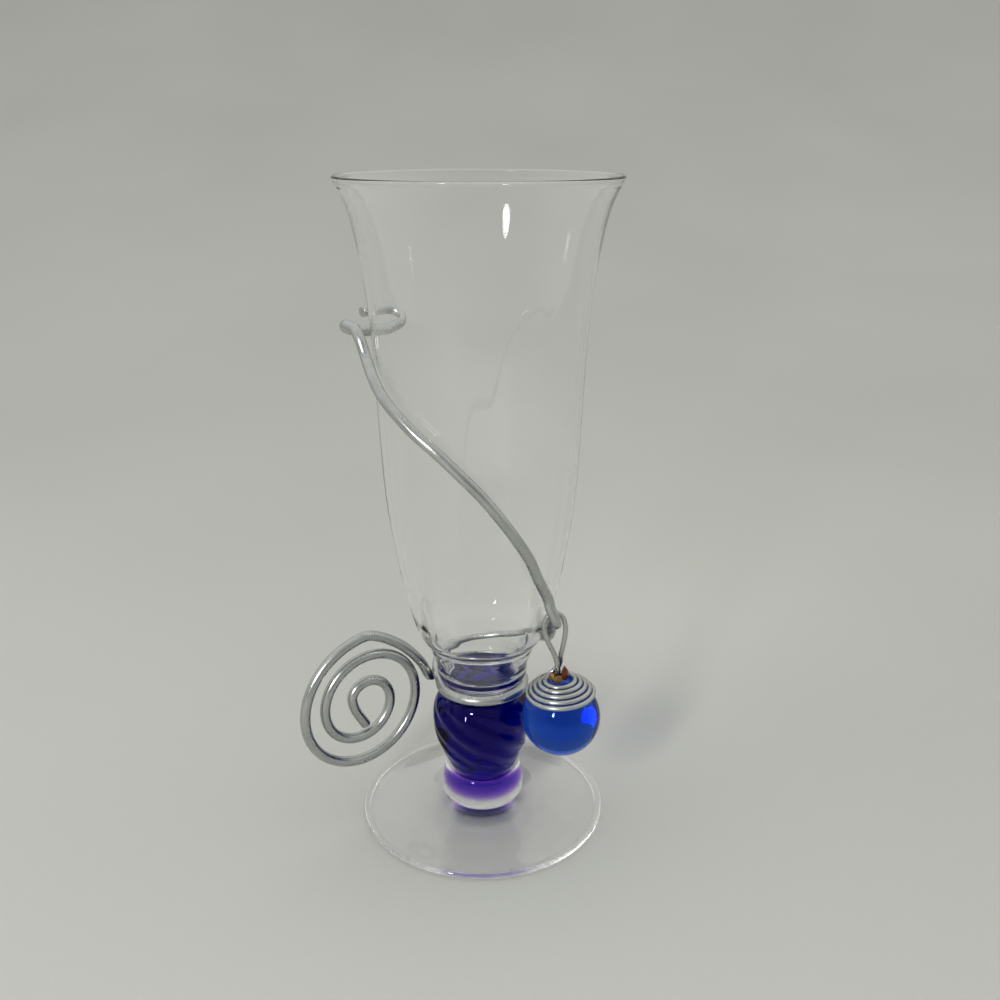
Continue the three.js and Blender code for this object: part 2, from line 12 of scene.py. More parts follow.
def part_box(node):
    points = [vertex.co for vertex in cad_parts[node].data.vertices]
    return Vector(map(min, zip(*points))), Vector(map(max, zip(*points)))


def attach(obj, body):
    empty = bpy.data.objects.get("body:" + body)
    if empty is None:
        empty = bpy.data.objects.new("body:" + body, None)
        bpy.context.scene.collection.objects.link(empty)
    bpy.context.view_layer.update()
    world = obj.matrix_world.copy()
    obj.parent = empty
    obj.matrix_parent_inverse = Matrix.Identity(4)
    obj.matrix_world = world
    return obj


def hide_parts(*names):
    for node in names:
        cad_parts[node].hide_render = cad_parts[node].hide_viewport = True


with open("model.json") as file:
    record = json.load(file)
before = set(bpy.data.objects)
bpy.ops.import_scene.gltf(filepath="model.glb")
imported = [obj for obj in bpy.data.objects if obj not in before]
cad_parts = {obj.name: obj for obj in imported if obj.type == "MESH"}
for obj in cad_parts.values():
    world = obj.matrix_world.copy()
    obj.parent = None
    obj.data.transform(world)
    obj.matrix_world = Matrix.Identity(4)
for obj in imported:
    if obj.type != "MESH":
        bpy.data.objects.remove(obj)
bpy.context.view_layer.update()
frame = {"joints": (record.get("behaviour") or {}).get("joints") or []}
scene = bpy.context.scene
mm = 0.001
print("frame loaded")


# Heights of the stack, read from the frame, in millimetres

def topOf(node):
    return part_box(node)[1].z / mm


footTop = topOf("foot")
lowerKnopTop = topOf("lower_knop")
swirlTop = topOf("swirl_knop")
waistTop = topOf("waist_knop")
rimTop = topOf("bowl")
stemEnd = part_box("swirl_knop")[0].z / mm
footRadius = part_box("foot")[1].x / mm
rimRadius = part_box("bowl")[1].x / mm


# Camera, at the photograph's viewing angle

camera = {"place": (0.00616, -0.3233, 0.2296), "pitch": -19.5, "lens": 38.16, "sensor": 36.0,
          "nearest": 0.01}


def placeCamera():
    data = bpy.data.cameras.new("camera")
    data.lens = camera["lens"]
    data.sensor_width = camera["sensor"]
    data.clip_start = camera["nearest"]
    eye = bpy.data.objects.new("camera", data)
    eye.location = camera["place"]
    eye.rotation_euler = (math.radians(90 + camera["pitch"]), 0, 0)
    scene.collection.objects.link(eye)
    scene.camera = eye


placeCamera()


# Colours and nodes

def hexColour(text, alpha=1.0):
    parts = [int(text[i:i + 2], 16) / 255 for i in (1, 3, 5)]
    linear = [c / 12.92 if c <= 0.04045 else ((c + 0.055) / 1.055) ** 2.4 for c in parts]
    return (*linear, alpha)


def addNode(tree, kind, inputs=None, **settings):
    node = tree.nodes.new(kind)
    for name, value in settings.items():
        setattr(node, name, value)
    for socket, value in (inputs or {}).items():
        if isinstance(value, bpy.types.NodeSocket):
            tree.links.new(value, node.inputs[socket])
        else:
            node.inputs[socket].default_value = value
    return node


def newMaterial(name):
    material = bpy.data.materials.new(name)
    material.use_nodes = True
    tree = material.node_tree
    tree.nodes.clear()
    return material, tree, tree.nodes.new("ShaderNodeOutputMaterial")


# Glass. Neighbouring pieces are one melt, so the faces where they meet are marked with the
# attribute "fused" and let light straight through. Faces marked "ground" are frosted by grinding.
# A look gives only what differs from plain glass. Widths, depths and heights are in millimetres.

plainGlass = {
    "surface": "#FFFFFF", "lowSurface": "#FFFFFF", "tintBelow": 0.0, "tintAbove": 1.0,
    "groundRoughness": 0.0, "specular": 0.5, "gleam": "#FFFFFF", "ior": 1.52,
    "waveDraw": 1.0, "roughBelow": 0.0, "calmAbove": 1.0, "roughTimes": 1.0}


def glassMaterial(name, ownLook):
    look = {**plainGlass, **ownLook}
    material, tree, output = newMaterial(name)
    place = addNode(tree, "ShaderNodeTexCoord").outputs["Object"]
    height = addNode(tree, "ShaderNodeSeparateXYZ", {0: place}).outputs["Z"]
    # Slow waves that the maker's tools leave in hot glass, drawn out along the axis
    flat = 1 / (look["waveWidth"] * mm)
    drawn = addNode(tree, "ShaderNodeMapping", {
        "Vector": place, "Scale": (flat, flat, flat / look["waveDraw"])})
    waves = addNode(tree, "ShaderNodeTexNoise", {
        "Vector": drawn.outputs[0], "Scale": 1.0, "Detail": 1.5, "Roughness": 0.4})
    swell = addNode(tree, "ShaderNodeMapRange", {
        "Value": height, "From Min": look["roughBelow"] * mm, "From Max": look["calmAbove"] * mm,
        "To Min": look["roughTimes"], "To Max": 1.0}, interpolation_type="SMOOTHSTEP")
    swollen = addNode(tree, "ShaderNodeMath", {
        0: waves.outputs[0], 1: swell.outputs[0]}, operation="MULTIPLY")
    bump = addNode(tree, "ShaderNodeBump", {
        "Height": swollen.outputs[0], "Distance": look["waveHeight"] * mm, "Strength": 1.0})
    tint = addNode(tree, "ShaderNodeMapRange", {
        "Value": height, "From Min": look["tintBelow"] * mm, "From Max": look["tintAbove"] * mm},
        interpolation_type="SMOOTHSTEP")
    surfaceColour = addNode(tree, "ShaderNodeMix", {
        0: tint.outputs[0], 6: hexColour(look["lowSurface"]), 7: hexColour(look["surface"])},
        data_type="RGBA")
    ground = addNode(tree, "ShaderNodeAttribute", attribute_name="ground")
    roughness = addNode(tree, "ShaderNodeMath", {
        0: ground.outputs["Fac"], 1: look["groundRoughness"]}, operation="MULTIPLY")
    glass = addNode(tree, "ShaderNodeBsdfPrincipled", {
        "Base Color": surfaceColour.outputs[2], "Roughness": roughness.outputs[0], "IOR": look["ior"],
        "Transmission Weight": 1.0, "Specular IOR Level": look["specular"],
        "Specular Tint": hexColour(look["gleam"]), "Normal": bump.outputs[0]})
    fused = addNode(tree, "ShaderNodeAttribute", attribute_name="fused")
    straight = addNode(tree, "ShaderNodeBsdfTransparent")
    skin = addNode(tree, "ShaderNodeMixShader", {
        0: fused.outputs["Fac"], 1: glass.outputs[0], 2: straight.outputs[0]})
    # Lamps shine through glass, less what one wall takes from them
    path = addNode(tree, "ShaderNodeLightPath")
    lit = addNode(tree, "ShaderNodeBsdfTransparent", {"Color": hexColour(look["shadow"])})
    surface = addNode(tree, "ShaderNodeMixShader", {
        0: path.outputs["Is Shadow Ray"], 1: skin.outputs[0], 2: lit.outputs[0]})
    tree.links.new(surface.outputs[0], output.inputs["Surface"])
    if "inside" in look:
        volume = addNode(tree, "ShaderNodeVolumeAbsorption", {
            "Color": hexColour(look["inside"]), "Density": look["density"]})
        tree.links.new(volume.outputs[0], output.inputs["Volume"])
    return material


# Clear soda-lime glass, mouth blown and fire polished: mirror smooth, with slow waves, and livelier
# ones low down where the cup was gathered. The foot is ground flat underneath.
clearGlass = glassMaterial("clearSodaLimeGlassBlown", {
    "shadow": "#F4F4F4", "waveWidth": 16.0, "waveDraw": 3.0, "waveHeight": 0.05,
    "roughBelow": 52.0, "calmAbove": 95.0, "roughTimes": 1.6})
# The foot's glass is the same, and its flat underside is ground: soft below, and the table just
# under it gets less of the lamp's direct light
footGlass = glassMaterial("clearSodaLimeGlassGround", {
    "shadow": "#ECECEC", "waveWidth": 12.0, "waveHeight": 0.02, "groundRoughness": 0.2})
# Cobalt soda-lime glass, dip moulded and twisted: violet-blue and nearly black in depth, with a
# violet gleam on the ribs and a clearer blue at its thin lower end
cobaltGlass = glassMaterial("cobaltSodaLimeGlassTwisted", {
    "lowSurface": "#4C7CFF", "tintBelow": 18.0, "tintAbove": 25.0,
    "specular": 0.04, "gleam": "#CDAEFF", "shadow": "#6454B4",
    "waveWidth": 10.0, "waveHeight": 0.02, "inside": "#A83CF0", "density": 430.0})
# Paler blue glass, lampworked into a ball: one deep even blue with bright edges
ballGlass = glassMaterial("blueSodaLimeGlassLampworked", {
    "specular": 0.3, "gleam": "#A8D0FF", "shadow": "#7F84D0",
    "waveWidth": 8.0, "waveHeight": 0.008, "inside": "#3CB4F2", "density": 185.0})


# Aluminium craft wire, drawn and left satin: fine draw lines, soft smudges and a few nicks.
# The mesh's attribute "wirePlace" holds millimetres along the wire, and across it as drawn.

def wireMaterial(name, look):
    material, tree, output = newMaterial(name)
    along = addNode(tree, "ShaderNodeAttribute", attribute_name="wirePlace").outputs["Vector"]
    place = addNode(tree, "ShaderNodeTexCoord").outputs["Object"]
    across = 1 / look["lineWidth"]
    stretched = addNode(tree, "ShaderNodeMapping", {
        "Vector": along, "Scale": (1 / look["lineLength"], across, across)})
    lines = addNode(tree, "ShaderNodeTexNoise", {
        "Vector": stretched.outputs[0], "Scale": 1.0, "Detail": 3.0, "Roughness": 0.6})
    smudges = addNode(tree, "ShaderNodeTexNoise", {
        "Vector": place, "Scale": 1 / (look["smudge"] * mm), "Detail": 3.0, "Roughness": 0.6})
    nicks = addNode(tree, "ShaderNodeTexNoise", {
        "Vector": place, "Scale": 1 / (look["nick"] * mm), "Detail": 2.0, "Roughness": 0.5})
    colour = addNode(tree, "ShaderNodeMix", {
        0: smudges.outputs[0], 6: hexColour(look["dark"]), 7: hexColour(look["light"])},
        data_type="RGBA")
    roughness = addNode(tree, "ShaderNodeMapRange", {
        "Value": smudges.outputs[0], "From Min": 0.3, "From Max": 0.7,
        "To Min": look["smoothest"], "To Max": look["roughest"]})
    fine = addNode(tree, "ShaderNodeBump", {
        "Height": lines.outputs[0], "Distance": look["lineDepth"] * mm, "Strength": 1.0})
    dents = addNode(tree, "ShaderNodeBump", {
        "Height": nicks.outputs[0], "Distance": look["nickDepth"] * mm, "Strength": 1.0,
        "Normal": fine.outputs[0]})
    metal = addNode(tree, "ShaderNodeBsdfPrincipled", {
        "Base Color": colour.outputs[2], "Metallic": 1.0, "Roughness": roughness.outputs[0],
        "Normal": dents.outputs[0]})
    tree.links.new(metal.outputs[0], output.inputs["Surface"])
    return material


satinAluminium = wireMaterial("aluminiumWireDrawnSatin", {
    "dark": "#B0B2B0", "light": "#CDCFCD", "smoothest": 0.23, "roughest": 0.35,
    "lineLength": 12.0, "lineWidth": 0.22, "lineDepth": 0.01,
    "smudge": 6.0, "nick": 1.8, "nickDepth": 0.05})


# Broken resin: waxy, clouded, glowing where it is thin

def resinMaterial(name, look):
    material, tree, output = newMaterial(name)
    place = addNode(tree, "ShaderNodeTexCoord").outputs["Object"]
    clouds = addNode(tree, "ShaderNodeTexNoise", {
        "Vector": place, "Scale": 1 / (look["cloud"] * mm), "Detail": 4.0, "Roughness": 0.6})
    colour = addNode(tree, "ShaderNodeMix", {
        0: clouds.outputs[0], 6: hexColour(look["dark"]), 7: hexColour(look["light"])},
        data_type="RGBA")
    bump = addNode(tree, "ShaderNodeBump", {
        "Height": clouds.outputs[0], "Distance": look["grain"] * mm, "Strength": 1.0})
    resin = addNode(tree, "ShaderNodeBsdfPrincipled", {
        "Base Color": colour.outputs[2], "Roughness": look["roughness"], "IOR": look["ior"],
        "Subsurface Weight": look["glow"], "Subsurface Radius": (1.0, 0.5, 0.2),
        "Subsurface Scale": look["glowDepth"] * mm, "Normal": bump.outputs[0]})
    tree.links.new(resin.outputs[0], output.inputs["Surface"])
    return material


# Amber resin, broken into chips: honey gold, paler where it is thin
amberResin = resinMaterial("amberResinBroken", {
    "dark": "#4A3114", "light": "#A8813A", "roughness": 0.28, "ior": 1.54,
    "cloud": 0.9, "grain": 0.1, "glow": 0.5, "glowDepth": 1.2})
# Red-brown amber, broken into chips
brownResin = resinMaterial("brownAmberResinBroken", {
    "dark": "#431608", "light": "#8C3D1A", "roughness": 0.3, "ior": 1.54,
    "cloud": 1.0, "grain": 0.1, "glow": 0.3, "glowDepth": 1.0})
print("materials made")


# Mesh tools

def meshPiece(name, vertices, faces, material, ride, replaced, creaseAngle=40):
    mesh = bpy.data.meshes.new(name)
    mesh.from_pydata([tuple(v * mm for v in vertex) for vertex in vertices], [], faces)
    mesh.update()
    mesh.shade_smooth()
    mesh.set_sharp_from_angle(angle=math.radians(creaseAngle))
    mesh.materials.append(material)
    piece = bpy.data.objects.new(name, mesh)
    scene.collection.objects.link(piece)
    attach(piece, ride)
    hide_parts(replaced)
    return piece


# Points of a smooth line through given points: a uniform Catmull-Rom spline
def smoothLine(points, stepsPerSpan):
    points = [np.array(point, float) for point in points]
    padded = [points[0], *points, points[-1]]
    line = []
    for a, b, c, d in zip(padded, padded[1:], padded[2:], padded[3:]):
        leaving = (c - a) / 2
        arriving = (d - b) / 2
        for t in np.arange(stepsPerSpan) / stepsPerSpan:
            line.append(b + leaving * t + (3 * (c - b) - 2 * leaving - arriving) * t ** 2
                        + (2 * (b - c) + leaving + arriving) * t ** 3)
    line.append(points[-1])
    return np.array(line)


def smoothStep(value, low, high):
    t = min(max((value - low) / (high - low), 0), 1)
    return t * t * (3 - 2 * t)


# A turned solid. The outline holds (radius, height) from the bottom cap up the outside and back to
# the top cap; both caps are closed by one flat face.
def turnedMesh(outline, segments, shape=None, turn=None):
    vertices = []
    for radius, height in outline:
        for step in range(segments):
            angle = 2 * math.pi * step / segments + (turn(height) if turn else 0)
            reach = shape(radius, angle, height) if shape else radius
            vertices.append((reach * math.cos(angle), reach * math.sin(angle), height))
    faces = [tuple(reversed(range(segments)))]
    for ring in range(len(outline) - 1):
        for step in range(segments):
            low = ring * segments + step
            lowNext = ring * segments + (step + 1) % segments
            faces.append((low, lowNext, lowNext + segments, low + segments))
    faces.append(tuple((len(outline) - 1) * segments + step for step in range(segments)))
    return vertices, faces


# Marks bands of a turned piece's faces. Bands are counted up the outline, and from its end where
# the count is below 0; "bottom" and "top" are the caps.
def markBands(piece, name, segments, bands):
    mark = piece.data.attributes.new(name, "FLOAT", "FACE")
    faceCount = len(piece.data.polygons)
    bandCount = (faceCount - 2) // segments
    ends = {"bottom": [0], "top": [faceCount - 1]}
    for band in bands:
        first = 1 + (band % bandCount) * segments if band not in ends else 0
        for face in ends.get(band, range(first, first + segments)):
            mark.data[face].value = 1.0


fusedGap = 0.01  # between two fused faces, so that both are met


def glassPiece(name, replaced, outline, segments, material, slot, fusedBands, groundBands=(),
               **shaping):
    vertices, faces = turnedMesh(outline, segments, **shaping)
    piece = meshPiece(name, vertices, faces, material, "glass", replaced)
    markBands(piece, "fused", segments, fusedBands)
    markBands(piece, "ground", segments, groundBands)


# Foot: a thin disc with a thicker fire-polished edge, and a low cone up to the stem

foot = {"edgeThickness": 2.1, "edgeRound": 1.0, "discThickness": 1.5, "topRadius": 13.0,
        "recess": 0.4, "recessCentre": 3.0, "segments": 256}


def roundEdge(centre, radius, angles):
    turns = [math.radians(angle) for angle in angles]
    return [(centre[0] + radius * math.cos(turn), centre[1] + radius * math.sin(turn)) for turn in turns]


def footOutline():
    edge = foot["edgeRound"]
    thick = foot["edgeThickness"]
    disc = foot["discThickness"]
    rise = footTop - thick
    underside = [(foot["recessCentre"], foot["recess"]), (footRadius * 0.5, foot["recess"]),
                 (footRadius - 6 * edge, foot["recess"] * 0.6), (footRadius - 3 * edge, 0.0)]
    lower = roundEdge((footRadius - edge, edge), edge, range(-90, 1, 10))
    upper = roundEdge((footRadius - edge, thick - edge), edge, range(10, 91, 10))
    cone = smoothLine([
        upper[-1],
        (footRadius - edge * 1.6, thick * 0.95),
        (footRadius - edge * 2.1, (thick + disc) / 2),
        (footRadius - edge * 2.8, disc),
        (footRadius * 0.87, disc * 1.15),
        (footRadius * 0.73, thick + rise * 0.12),
        (footRadius * 0.52, thick + rise * 0.36),
        (foot["topRadius"] * 1.3, thick + rise * 0.62),
        (foot["topRadius"] * 1.1, thick + rise * 0.85),
        (foot["topRadius"] * 1.02, thick + rise * 0.96),
        (foot["topRadius"], footTop - fusedGap)], 10)
    return [*underside, *lower, *upper, *cone[1:].tolist()]


glassPiece("footGlass", "foot", footOutline(), foot["segments"], footGlass, "clear_glass", ("top",),
           groundBands=("bottom", 0, 1, 2))
print("foot made")


# Lower knop: a clear solid bead between the foot and the blue knop, whose stem it holds

lowerKnop = {"radius": 14.2, "topRadius": 11.0, "lip": 1.2, "stemRadius": 9.4, "segments": 192}


def lowerKnopOutline():
    height = lowerKnopTop - footTop
    side = smoothLine([(radius, footTop + share * height) for radius, share in [
        (foot["topRadius"], 0),
        (lowerKnop["radius"] * 0.98, 0.14),
        (lowerKnop["radius"], 0.3),
        (lowerKnop["radius"] * 0.99, 0.52),
        (lowerKnop["radius"] * 0.96, 0.76),
        (lowerKnop["radius"] * 0.92, 0.9),
        (lowerKnop["topRadius"] + lowerKnop["lip"], 0.975),
        (lowerKnop["topRadius"], 1)]], 12)
    return [*side.tolist(), (lowerKnop["stemRadius"], lowerKnopTop), (lowerKnop["stemRadius"], stemEnd)]


# Blue knop with twisted ribs, standing on the lower knop with its stem in it

swirlKnop = {"radius": 17.1, "footRadius": 10.9, "footFlare": 1.0, "notchRadius": 12.7,
             "topRadius": 14.5, "ribs": 8, "ribDepth": 0.8, "ribTwist": 180, "segments": 360}


def swirlKnopOutline():
    height = swirlTop - lowerKnopTop
    radius = swirlKnop["radius"]
    points = [
        (swirlKnop["footRadius"], 0),
        (swirlKnop["footRadius"] + swirlKnop["footFlare"], 0.05),
        (swirlKnop["notchRadius"], 0.118),
        ((swirlKnop["notchRadius"] + radius) / 2, 0.285),
        (radius * 0.99, 0.523),
        (radius, 0.658),
        (radius * 0.98, 0.836),
        (radius * 0.93, 0.93),
        (swirlKnop["topRadius"], 1)]
    base = lowerKnopTop + fusedGap
    side = smoothLine([(r, base + share * (height - fusedGap)) for r, share in points], 16)
    stem = lowerKnop["stemRadius"] - fusedGap
    return [(stem, stemEnd + fusedGap), (stem, base), *side.tolist()]


def ribTurn(height):
    return -math.radians(swirlKnop["ribTwist"]) * (height - lowerKnopTop) / (swirlTop - lowerKnopTop)


def ribShape(radius, angle, height):
    share = (height - lowerKnopTop) / (swirlTop - lowerKnopTop)
    fade = smoothStep(share, 0.08, 0.35) * (1 - smoothStep(share, 0.85, 1))
    wave = 0.5 - 0.5 * math.cos(swirlKnop["ribs"] * (angle - ribTurn(height)))
    return radius - swirlKnop["ribDepth"] * fade * wave


# Clear waist, drawn in to the groove that the wire lies in

waist = {"grooveRadius": 12.2, "grooveHeight": 3.7, "segments": 192}


def waistPoints():
    height = waistTop - swirlTop
    groove = waist["grooveRadius"]
    return [(radius, swirlTop + share * height) for radius, share in [
        (swirlKnop["topRadius"], 0),
        ((swirlKnop["topRadius"] + groove * 3) / 4, 0.36),
        (groove, 0.7)]]


# Bowl: a collar above the groove and the flared cup. Its sides hold (height above the collar's
# base, radius).

bowl = {"collarRise": 8.0, "collarRadius": 15.1, "cupBase": 15.6, "cupHip": 25.3, "cupBody": 32.1,
        "baseWall": 2.2, "wall": 1.6, "rimThickness": 1.3, "floor": 2.2, "floorRadius": 8.6,
        "floorCentre": 0.3, "insideHeights": (58.5, 61, 63.6, 66, 69.4, 74.4, 81, 89),
        "panels": 12, "panelDepth": 0.35, "segments": 240}
nearSeam = 0.1  # points of the side nearer than this to a seam are left out
slopeReach = 1.5  # slopes are measured this far up and down


def bowlPoints():
    groove, collar = waist["grooveRadius"], bowl["collarRadius"]
    rise = bowl["collarRise"]
    base, hip, body = bowl["cupBase"], bowl["cupHip"], bowl["cupBody"]
    low = [(groove, 0), ((groove * 3 + collar) / 4, rise * 0.11),
           ((groove + collar * 3) / 4, rise * 0.25), (collar, rise * 0.44),
           ((collar + base) / 2, rise * 0.7)]
    spans = [
        (0, base, hip, 0), (0.029, base, hip, 0.165), (0.0445, base, hip, 0.25),
        (0.0553, base, hip, 0.4), (0.0724, base, hip, 0.577), (0.0953, base, hip, 0.711),
        (0.127, base, hip, 0.845), (0.165, base, hip, 1),
        (0.216, hip, body, 0.235), (0.368, hip, body, 0.765), (0.536, hip, body, 1),
        (0.696, body, rimRadius, 0.102), (0.81, body, rimRadius, 0.26), (0.892, body, rimRadius, 0.444),
        (0.95, body, rimRadius, 0.657), (1, body, rimRadius, 1)]
    height = rimTop - waistTop - rise - bowl["rimThickness"] / 2
    cup = [(start + (end - start) * share, rise + up * height) for up, start, end, share in spans]
    return [(radius, waistTop + up) for radius, up in [*low, *cup]]


glassSide = smoothLine([*waistPoints(), *bowlPoints()], 12)


def glassRadius(height):
    return float(np.interp(height, glassSide[:, 1], glassSide[:, 0]))


def glassSlope(height):
    return (glassRadius(height + slopeReach) - glassRadius(height - slopeReach)) / (2 * slopeReach)


def waistOutline():
    below = [tuple(p) for p in glassSide if swirlTop + nearSeam < p[1] < waistTop - nearSeam]
    return [(swirlKnop["topRadius"], swirlTop + fusedGap), *below, (waist["grooveRadius"], waistTop)]


def bowlInside(height):
    up = height - waistTop
    full = rimTop - waistTop
    thinned = smoothStep(up, bowl["floor"], 4 * bowl["collarRise"])
    wall = bowl["baseWall"] + (bowl["wall"] - bowl["baseWall"]) * thinned
    wall += (bowl["rimThickness"] - wall) * smoothStep(up, full * 0.85, full)
    return glassRadius(height) - wall * math.hypot(1, glassSlope(height))


def bowlOutline():
    base = waistTop + fusedGap
    side = [tuple(p) for p in glassSide if p[1] > waistTop + nearSeam]
    outside = [(waist["grooveRadius"], base), *side]
    half = bowl["rimThickness"] / 2
    rim = roundEdge((rimRadius - half, rimTop - half), half, range(15, 181, 15))
    floor, flat = waistTop + bowl["floor"], bowl["floorRadius"]
    cupLow = [(bowl["floorCentre"], floor), (flat, floor), (flat + 1.6, floor + 0.25),
              (flat + 3.0, floor + 1.1), (flat + 3.9, floor + 2.5), (flat + 4.4, floor + 4.3)]
    lowHeights = bowl["insideHeights"]
    cup = smoothLine([*cupLow, *[(bowlInside(height), height) for height in lowHeights]], 10)
    heights = [p[1] for p in outside
               if lowHeights[-1] + slopeReach < p[1] < rimTop - half - slopeReach]
    inside = [(bowlInside(height), height) for height in reversed(heights)]
    return [*outside, *rim, *inside, *reversed(cup.tolist())]


def panelShape(radius, angle, height):
    up = height - waistTop
    full = rimTop - waistTop
    rise = smoothStep(up, bowl["collarRise"] * 1.6, full * 0.2)
    fade = rise * (1 - smoothStep(up, full * 0.6, full * 0.95))
    return radius - bowl["panelDepth"] * fade * (0.5 + 0.5 * math.cos(bowl["panels"] * angle))


glassPiece("lowerKnopGlass", "lower_knop", lowerKnopOutline(), lowerKnop["segments"], clearGlass,
           "clear_glass", ("bottom", -2, -1, "top"))
glassPiece("swirlKnopGlass", "swirl_knop", swirlKnopOutline(), swirlKnop["segments"], cobaltGlass,
           "cobalt_glass", ("bottom", 0, 1, "top"), shape=ribShape, turn=ribTurn)
glassPiece("waistKnopGlass", "waist_knop", waistOutline(), waist["segments"], clearGlass,
           "clear_glass", ("bottom", "top"))
glassPiece("bowlGlass", "bowl", bowlOutline(), bowl["segments"], clearGlass, "clear_glass", ("bottom",),
           shape=panelShape)
print("glass made")


# Wires. A route is a centripetal Catmull-Rom spline through listed points, cut into even steps.

routeFineness = 24  # straight bits in each span before the route is cut evenly
endRounding = 0.06  # of a cut end, as a share of the wire's diameter


def smoothRoute(points, step):
    points = [Vector(point) for point in points]
    padded = [2 * points[0] - points[1], *points, 2 * points[-1] - points[-2]]
    fine = []
    for a, b, c, d in zip(padded, padded[1:], padded[2:], padded[3:]):
        before, span, after = ((q - p).length ** 0.5 for p, q in ((a, b), (b, c), (c, d)))
        leaving = ((b - a) / before - (c - a) / (before + span) + (c - b) / span) * span
        arriving = ((c - b) / span - (d - b) / (span + after) + (d - c) / after) * span
        for t in (i / routeFineness for i in range(routeFineness)):
            fine.append(b + leaving * t + (3 * (c - b) - 2 * leaving - arriving) * t ** 2
                        + (2 * (b - c) + leaving + arriving) * t ** 3)
    fine = np.array([*fine, points[-1]])
    along = np.concatenate([[0], np.cumsum(np.linalg.norm(np.diff(fine, axis=0), axis=1))])
    places = np.linspace(0, along[-1], int(along[-1] / step) + 1)
    return np.stack([np.interp(places, along, fine[:, axis]) for axis in range(3)], axis=1)


# Round wire along a route. Its cut ends are flat with a small burr-free round.
def wireMesh(route, diameter, sides, endRound):
    tangents = np.gradient(route, axis=0)
    tangents /= np.linalg.norm(tangents, axis=1)[:, None]
    side = np.cross((0.0, 1.0, 0.0), tangents[0])
    side /= np.linalg.norm(side)
    along = np.concatenate([[0], np.cumsum(np.linalg.norm(np.diff(route, axis=0), axis=1))])
    inset = [endRound * (1 - math.sin(math.radians(a))) for a in (0, 30, 60)]
    back = [endRound * (1 - math.cos(math.radians(a))) for a in (0, 30, 60)]
    rings = [(route[0] + tangents[0] * b, 0, diameter / 2 - i) for i, b in zip(inset, back)]
    rings += [(point, k, diameter / 2) for k, point in enumerate(route)][1:-1]
    rings += [(route[-1] - tangents[-1] * b, len(route) - 1, diameter / 2 - i)
              for i, b in zip(reversed(inset), reversed(back))]
    vertices, places = [], []
    for centre, k, radius in rings:
        side = side - np.dot(side, tangents[k]) * tangents[k]
        side /= np.linalg.norm(side)
        other = np.cross(tangents[k], side)
        for turn in np.arange(sides) * 2 * math.pi / sides:
            vertices.append(centre + radius * (math.cos(turn) * side + math.sin(turn) * other))
            places.append((along[k], radius * math.cos(turn), radius * math.sin(turn)))
    faces = [tuple(reversed(range(sides)))]
    for ring in range(len(rings) - 1):
        for k in range(sides):
            a, b = ring * sides + k, ring * sides + (k + 1) % sides
            faces.append((a, b, b + sides, a + sides))
    faces.append(tuple((len(rings) - 1) * sides + k for k in range(sides)))
    return vertices, faces, places


def wirePiece(name, route, diameter, sides, ride, replaced, transform=None):
    vertices, faces, places = wireMesh(route, diameter, sides, diameter * endRounding)
    if transform:
        vertices = [transform @ Vector(v) for v in vertices]
    piece = meshPiece(name, vertices, faces, satinAluminium, ride, replaced)
    held = piece.data.attributes.new("wirePlace", "FLOAT_VECTOR", "POINT")
    held.data.foreach_set("vector", np.array(places, np.float32).ravel())
    return piece


def around(azimuth, radius, height):
    turn = math.radians(azimuth)
    return Vector((radius * math.cos(turn), radius * math.sin(turn), height))


# Wire wrap: one strand from the cut end of the flat spiral, round the neck, through the hook, up and
# across the bowl to the small curl. Its bends are given in wire diameters.

wrap = {"diameter": 3.2, "drawnDiameter": 3.42, "gap": 0.3, "neckGap": 0.5, "bendRadius": 2.5,
        "spiralCentre": (26.2, -1.4), "spiralInner": 2.95, "spiralGrowth": 11.85, "spiralPower": 0.75,
        "spiralTurns": 2.24, "spiralStart": 5, "spiralDrift": (-0.95, -0.4), "spiralYaw": 34.4,
        "spiralOval": 0.025, "spiralOvalLean": 135, "spiralBendAzimuth": 166.2, "pointsPerTurn": 24,
        "hookAzimuth": -33.8, "curlHeight": 0.7, "sides": 28, "step": 0.45}

neckHeight = swirlTop + waist["grooveHeight"]
neckRadius = waist["grooveRadius"] + wrap["diameter"] / 2 + wrap["neckGap"]
cupBase = waistTop + bowl["collarRise"]
cupHeight = rimTop - cupBase


def wires(count):
    return count * wrap["diameter"]


def besideGlass(azimuth, height, gap):
    reach = (wrap["diameter"] / 2 + gap) * math.hypot(1, glassSlope(height))
    return around(azimuth, glassRadius(height) + reach, height)


spiralBend = around(wrap["spiralBendAzimuth"], neckRadius + wires(1.44), neckHeight - wires(0.34))
spiralOut = around(180 + wrap["spiralYaw"], 1, 0)
hook = Vector(frame["joints"][1]["pos_m"]) / mm


def spiralPlace(out, up):
    centreOut, centreUp = wrap["spiralCentre"]
    return spiralBend + spiralOut * (centreOut + out) + Vector((0, 0, centreUp + up))


# A corner rounded to the bend radius, as five points on its arc
def roundedCorner(before, corner, after):
    arriving = (corner - before).normalized()
    leaving = (after - corner).normalized()
    turn = arriving.angle(leaving)
    middle = (leaving - arriving).normalized()
    sideways = (arriving + leaving).normalized()
    centre = corner + middle * wrap["bendRadius"] / math.cos(turn / 2)
    return [centre - middle * wrap["bendRadius"] * math.cos(share * turn)
            + sideways * wrap["bendRadius"] * math.sin(share * turn)
            for share in (-0.5, -0.25, 0, 0.25, 0.5)]


